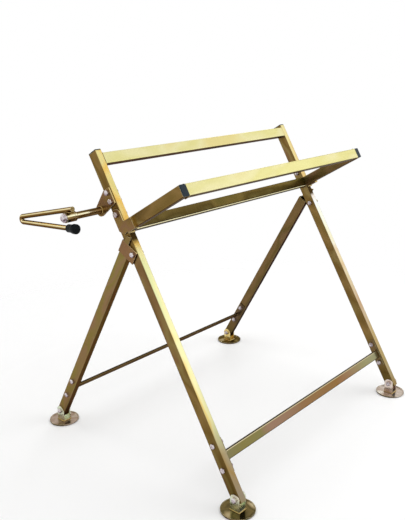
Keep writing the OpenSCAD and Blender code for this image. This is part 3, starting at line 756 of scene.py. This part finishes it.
def from_side(end, x):
    """A depth x behind the outer face of the left tube, or of the right tube for end -1."""
    return x if end == 1 else SPAN - x


# Of a cradle arm: its reach, its inset from the leg's outer face, and its gap to the leg when folded
ARM_REACH, ARM_INSET, ARM_GAP = 230 * MM, 4 * MM, 6 * MM
ends = [1, -1]
plug_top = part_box("front_leg_plugs")[1].z - foot_pin.z
leg_end = (plug_top - TUBE_W / 2 * math.sin(LEAN)) / math.cos(LEAN) - PLUG_CAP
arm_end = ARM_REACH - PLUG_CAP
arm_mid = ARM_INSET + TUBE_T / 2
arm_s = cradle_s - TUBE_W - ARM_GAP
leg_plugs = [plug(lambda a, b, h, e=e: front(from_side(e, TUBE_T / 2 + a), b, leg_end + h))
             for e in ends]
arm_plugs = [plug(lambda a, b, h, e=e: front(from_side(e, arm_mid + a), arm_end + h, arm_s + b))
             for e in ends]
piece("leg_end_plugs", "front_frame", plug_plastic, leg_plugs, "front_leg_plugs")
piece("arm_end_plugs", "cradle", plug_plastic, arm_plugs, "cradle_plugs")
print("leg tube ends at %.4f m up the leg" % leg_end)

# %% [markdown]
# The rubber cap on the rod's lower end is turned in one piece: a sleeve that grips the rod,
# a shallow step, and a wider rounded nose that keeps the bent rod from scratching what leans
# on it. It is a lathe shape, so its rings are circles whose radius follows a short profile
# along the rod.

# %% Rubber cap
# The rod's upper part falls to the rear and its lower part spreads from it, round a small bend
ROD_FALL, ROD_SPREAD = math.radians(12.5), math.radians(9)
ROD_D, BEND_R, ROD_UPPER, ROD_LOWER = 13 * MM, 7.5 * MM, 195 * MM, 215 * MM
# The rod sinks a little into its sleeve, which turns on the pin
PIN_D, PIN_PLAY, SLEEVE_WALL, ROD_SINK = 18 * MM, 0.05 * MM, 3.5 * MM, 1 * MM
CAP_GRIP = 26 * MM
sleeve_r = PIN_D / 2 + PIN_PLAY + SLEEVE_WALL
rod_lift = sleeve_r + ROD_D / 2 - ROD_SINK
rest_pin = Vector(joints["saw_rest_swing"]["pos_m"])
rod_back = Vector((0, math.cos(ROD_FALL), -math.sin(ROD_FALL)))
rod_up = Vector((0, math.sin(ROD_FALL), math.cos(ROD_FALL)))
lower_start = rest_pin + rod_back * (ROD_UPPER + BEND_R * math.sin(ROD_SPREAD)) \
    + rod_up * (rod_lift - BEND_R - BEND_R * math.cos(ROD_SPREAD))
lower_way = -rod_back * math.cos(ROD_SPREAD) - rod_up * math.sin(ROD_SPREAD)
lower_side = rod_up * math.cos(ROD_SPREAD) - rod_back * math.sin(ROD_SPREAD)
# Distance along the cap and its radius there, in mm
CAP_PROFILE = [(5.0, 6.6), (0.3, 6.7), (0.0, 7.4), (0.0, 9.4), (0.5, 10.1), (1.6, 10.4), (2.6, 10.2),
               (4.0, 10.2), (15.5, 10.5), (17.5, 10.8), (19.0, 11.7), (20.5, 12.3), (22.5, 12.5),
               (29.5, 12.5), (31.6, 12.0), (33.0, 10.9), (33.8, 9.2), (34.0, 7.6), (33.7, 6.4),
               (33.4, 3.0)]


def circle(centre, u, v, radius, steps=48):
    """Points round a centre, in the plane of u and v."""
    return [centre + (u * math.cos(a) + v * math.sin(a)) * radius
            for a in (2 * math.pi * k / steps for k in range(steps))]


cap_start = lower_start + lower_way * (ROD_LOWER - CAP_GRIP)
cap_across = Vector((1, 0, 0))
cap_rings = [circle(cap_start + lower_way * (along * MM), cap_across, lower_side, radius * MM)
             for along, radius in CAP_PROFILE]
piece("rubber_cap", "saw_rest", cap_rubber, [(cap_rings, False)], "saw_rod_cap")

# %% [markdown]
# A weld is not a smooth line: the welder's arc leaves a small pool at each step, and the
# pools freeze into a row of overlapping ripples. A bead here is a tube along a path whose
# radius swells and shrinks about every two millimetres, with a little chance in it. Half of
# it sinks into the two parts that it joins.

# %% Weld beads
RIPPLE = 2.2 * MM
# Radius of a bead round a tube, round the front channel and along thin sheet, in mm
TUBE_BEAD, BAR_BEAD, SHEET_BEAD = 1.7, 1.3, 1.2
hand = random.Random(11)


def along_path(points, closed, step):
    """Even places on a path, with the way forward at each."""
    stops = points + points[:1] if closed else points
    places = []
    for a, b in zip(stops, stops[1:]):
        count = max(2, round((b - a).length / step))
        places += [a.lerp(b, n / count) for n in range(count)]
    if not closed:
        places.append(stops[-1])
    ways = []
    for n in range(len(places)):
        before = places[n - 1] if n or closed else places[n]
        after = places[(n + 1) % len(places)] if n + 1 < len(places) or closed else places[n]
        ways.append((after - before).normalized())
    return places, ways


def bead(points, radius, closed):
    """The rings of a rippled bead of weld along a path."""
    places, ways = along_path(points, closed, RIPPLE / 4)
    rings = []
    travelled = 0.0
    for n, (here, way) in enumerate(zip(places, ways)):
        if n:
            travelled += (here - places[n - 1]).length
        ripple = abs(math.sin(math.pi * travelled / RIPPLE))
        swell = 0.86 + 0.22 * ripple + hand.uniform(-0.05, 0.05)
        if not closed:
            from_end = min(n, len(places) - 1 - n)
            swell *= min(1.0, 0.35 + 0.25 * from_end)
        across = way.orthogonal().normalized()
        rings.append(circle(here, across, way.cross(across), radius * swell, 8))
    return rings


def steady(rings):
    """Turns each ring so that its first point stays nearest to the last ring's."""
    for n in range(1, len(rings)):
        start = min(range(len(rings[n])), key=lambda k: (rings[n][k] - rings[n - 1][0]).length)
        rings[n] = rings[n][start:] + rings[n][:start]
    return rings


def beads(name, body, runs):
    """Several beads as one piece; a run is a path, its radius in mm and whether it closes."""
    skins = []
    for points, radius, closed in runs:
        rings = steady(bead(points, radius * MM, closed))
        if closed:
            rings.append([p.copy() for p in rings[0]])
        skins.append((rings, False))
    piece(name, body, weld_metal, skins)


# %% [markdown]
# The rails and the beam are welded all the way round their ends, except in front, where they
# lie flush with the leg and the weld is ground flat. The front cross-bar, a shallow channel,
# is welded to its end tabs on three sides, and the pin of the swinging rest to its plate in
# a ring.

# %% Welds of the front frame
# A bead's path keeps this far outside the surfaces it joins, so that half of it sinks in
WELD_GAP = 0.4 * MM
# The channel's depth, a tab's and the rest plate's thickness, and the back rail's drop from the top
BAR_DEPTH, TAB_T, REST_PLATE_T, BACK_DROP = 8 * MM, 3 * MM, 4 * MM, 8 * MM
half_w = TUBE_W / 2


def around_end(x, low_q, high_q, mid_s, half_s, place):
    """A path over the top, behind and under the end of a rail, just outside it, with slanted
    corners; it stops short of the rail's front."""
    lift, slant, short = 0.5 * MM, 2 * MM, 1 * MM
    top, bottom = mid_s + half_s, mid_s - half_s
    corners = [(high_q - short, top + lift), (low_q + slant, top + lift),
               (low_q - lift, top - slant), (low_q - lift, bottom + slant),
               (low_q + slant, bottom - lift), (high_q - short, bottom - lift)]
    return [place(x, q, s) for q, s in corners]


back_s = leg_end - BACK_DROP - half_w
inside = TUBE_T + WELD_GAP
behind_tab = TUBE_T + TAB_T + WELD_GAP
front_runs = []
for end in ends:
    rail_x, bar_x = from_side(end, inside), from_side(end, behind_tab)
    for height in (arm_s, back_s):
        rail_end = around_end(rail_x, half_w - TUBE_T, half_w, height, half_w, front)
        front_runs.append((rail_end, TUBE_BEAD, False))
    bar_end = around_end(bar_x, -BAR_DEPTH / 2, BAR_DEPTH / 2, bar_s, BAR_H / 2, front)
    front_runs.append((bar_end, BAR_BEAD, False))
pin_place = Vector((LEFT_X - REST_PLATE_T - WELD_GAP, rest_pin.y, rest_pin.z))
pin_ring = circle(pin_place, Vector((0, 1, 0)), Vector((0, 0, 1)), PIN_D / 2 + 0.5 * MM, 40)
front_runs.append((pin_ring, TUBE_BEAD, True))
beads("welds_front_frame", "front_frame", front_runs)

# %% [markdown]
# On the rear frame the hinge plates are welded along their lower edge, and the cross-bar, a
# flat strip, has a short bead on each side of its ends. The cradle's rail meets its arms with
# beads on three sides, and each arm is welded to the lip of its bracket below. The rod lies
# across its sleeve, so the bead between them is a saddle: an oval that follows the sleeve.

# %% Welds of the rear frame, cradle and saw rest
PLAY = 0.3 * MM
# The hinge bolt lies this far off the rear leg's middle, and a plate reaches this far below it
HINGE_OFF, HINGE_DOWN = 32 * MM, 24 * MM
# The strip's thickness and half the length of its beads; a bead on a plate's edge stops short
STRIP_T, STRIP_BEAD, EDGE_SHORT = 4 * MM, 7 * MM, 3 * MM
# The depth of a bracket's lip, and where its bead starts and ends along the arm
LIP, LIP_BEAD = 7 * MM, (18 * MM, 43 * MM)
plate_low = hinge_s + HINGE_OFF * math.tan(LEAN) - HINGE_DOWN
rear_runs = []
for end in ends:
    out = from_side(end, -PLAY - 0.5 * MM)
    edge = [rear(out, k * (half_w - EDGE_SHORT), plate_low - WELD_GAP) for k in ends]
    rear_runs.append((edge, SHEET_BEAD, False))
    bar_x = from_side(end, behind_tab - PLAY)
    for face in ends:
        q = face * (STRIP_T / 2 + WELD_GAP)
        path = [rear(bar_x, q, bar_s + k * STRIP_BEAD) for k in ends]
        rear_runs.append((path, SHEET_BEAD, False))
beads("welds_rear_frame", "rear_frame", rear_runs)

cradle_runs = []
for end in ends:
    rail_x = from_side(end, ARM_INSET + inside)
    rail_end = around_end(rail_x, ARM_REACH - TUBE_T, arm_end, arm_s, half_w, front)
    cradle_runs.append((rail_end, TUBE_BEAD, False))
    lip_x = from_side(end, ARM_INSET + LIP + WELD_GAP)
    lip_s = arm_s - half_w - 0.5 * MM
    cradle_runs.append(([front(lip_x, q, lip_s) for q in LIP_BEAD], SHEET_BEAD, False))
beads("welds_cradle", "cradle", cradle_runs)

SADDLE_STEPS, SADDLE_ACROSS, SADDLE_BACK, SADDLE_LIFT = 32, 5.6 * MM, 8.0 * MM, 0.8 * MM
saddle = []
for k in range(SADDLE_STEPS):
    turn = 2 * math.pi * k / SADDLE_STEPS
    across, back = SADDLE_ACROSS * math.cos(turn), SADDLE_BACK * math.sin(turn)
    rise = math.sqrt(sleeve_r ** 2 - back ** 2) + SADDLE_LIFT
    saddle.append(rest_pin + Vector((across, 0, 0)) + rod_back * back + rod_up * rise)
beads("welds_saw_rest", "saw_rest", [(saddle, TUBE_BEAD, True)])

# %% [markdown]
# The clevis of each foot is welded to its round plate along all four sides of its base. Each
# foot tilts by itself, so each one gets its own bead, riding on its own body.

# %% Welds of the feet
FOOT_T = 3 * MM
for side in ("left", "right"):
    for row in ("front", "rear"):
        foot = "foot_%s_%s" % (row, side)
        low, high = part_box("foot_clevis_%s_%s" % (row, side))
        x0, x1 = low.x - WELD_GAP, high.x + WELD_GAP
        y0, y1 = low.y - WELD_GAP, high.y + WELD_GAP
        corners = ((x0, y0), (x1, y0), (x1, y1), (x0, y1))
        base = [Vector((x, y, FOOT_T + 0.5 * MM)) for x, y in corners]
        beads("weld_" + foot, foot, [(base, SHEET_BEAD, True)])

# %% [markdown]
# A lock nut holds its bolt with a nylon ring, pressed into a collar above the hexagon. From
# behind, these pale rings are the first thing that shows which side the nuts are on. Each is
# a small ring round the bolt, set flush into the collar.

# %% Nylon rings of the lock nuts
NUT_H, CLEVIS_T = 8 * MM, 3 * MM
# The two bolts of the swinging rest's plate: their middle above the cradle bolt, and their gap
REST_RISE, REST_GAP = 48 * MM, 24 * MM
# Radius of the ring's section and its height above the nut's end, in mm
RING_PROFILE = [(4.05, -1.2), (4.05, 0.15), (4.3, 0.35), (4.7, 0.35), (4.95, 0.12), (5.0, -1.2)]


def nut_ring(end, place, s, seat):
    """The ring of a nut on one end of a frame, s up the leg, whose seat is at depth seat."""
    centre = place(from_side(end, seat + NUT_H), 0, s)
    out, u, v = Vector((end, 0, 0)), Vector((0, 1, 0)), Vector((0, 0, 1))
    rings = [circle(centre + out * (height * MM), u, v, radius * MM, 32)
             for radius, height in RING_PROFILE]
    return rings, True


foot_seat = TUBE_T + PLAY + CLEVIS_T + PLAY
tab_seat = TUBE_T + TAB_T
rest_bolts = [cradle_s + REST_RISE + k * REST_GAP / 2 for k in ends]
front_rings, rear_rings = [], []
for end in ends:
    front_rings += [nut_ring(end, front, s, tab_seat) for s in bar_bolts]
    front_rings += [nut_ring(end, front, s, TUBE_T) for s in (hinge_s, cradle_s)]
    front_rings.append(nut_ring(end, front, 0, foot_seat))
    rear_rings += [nut_ring(end, rear, s, tab_seat - PLAY) for s in bar_bolts]
    rear_rings.append(nut_ring(end, rear, 0, foot_seat - PLAY))
front_rings += [nut_ring(1, front, s, TUBE_T) for s in rest_bolts]
piece("nut_rings_front", "front_frame", nylon, front_rings)
piece("nut_rings_rear", "rear_frame", nylon, rear_rings)
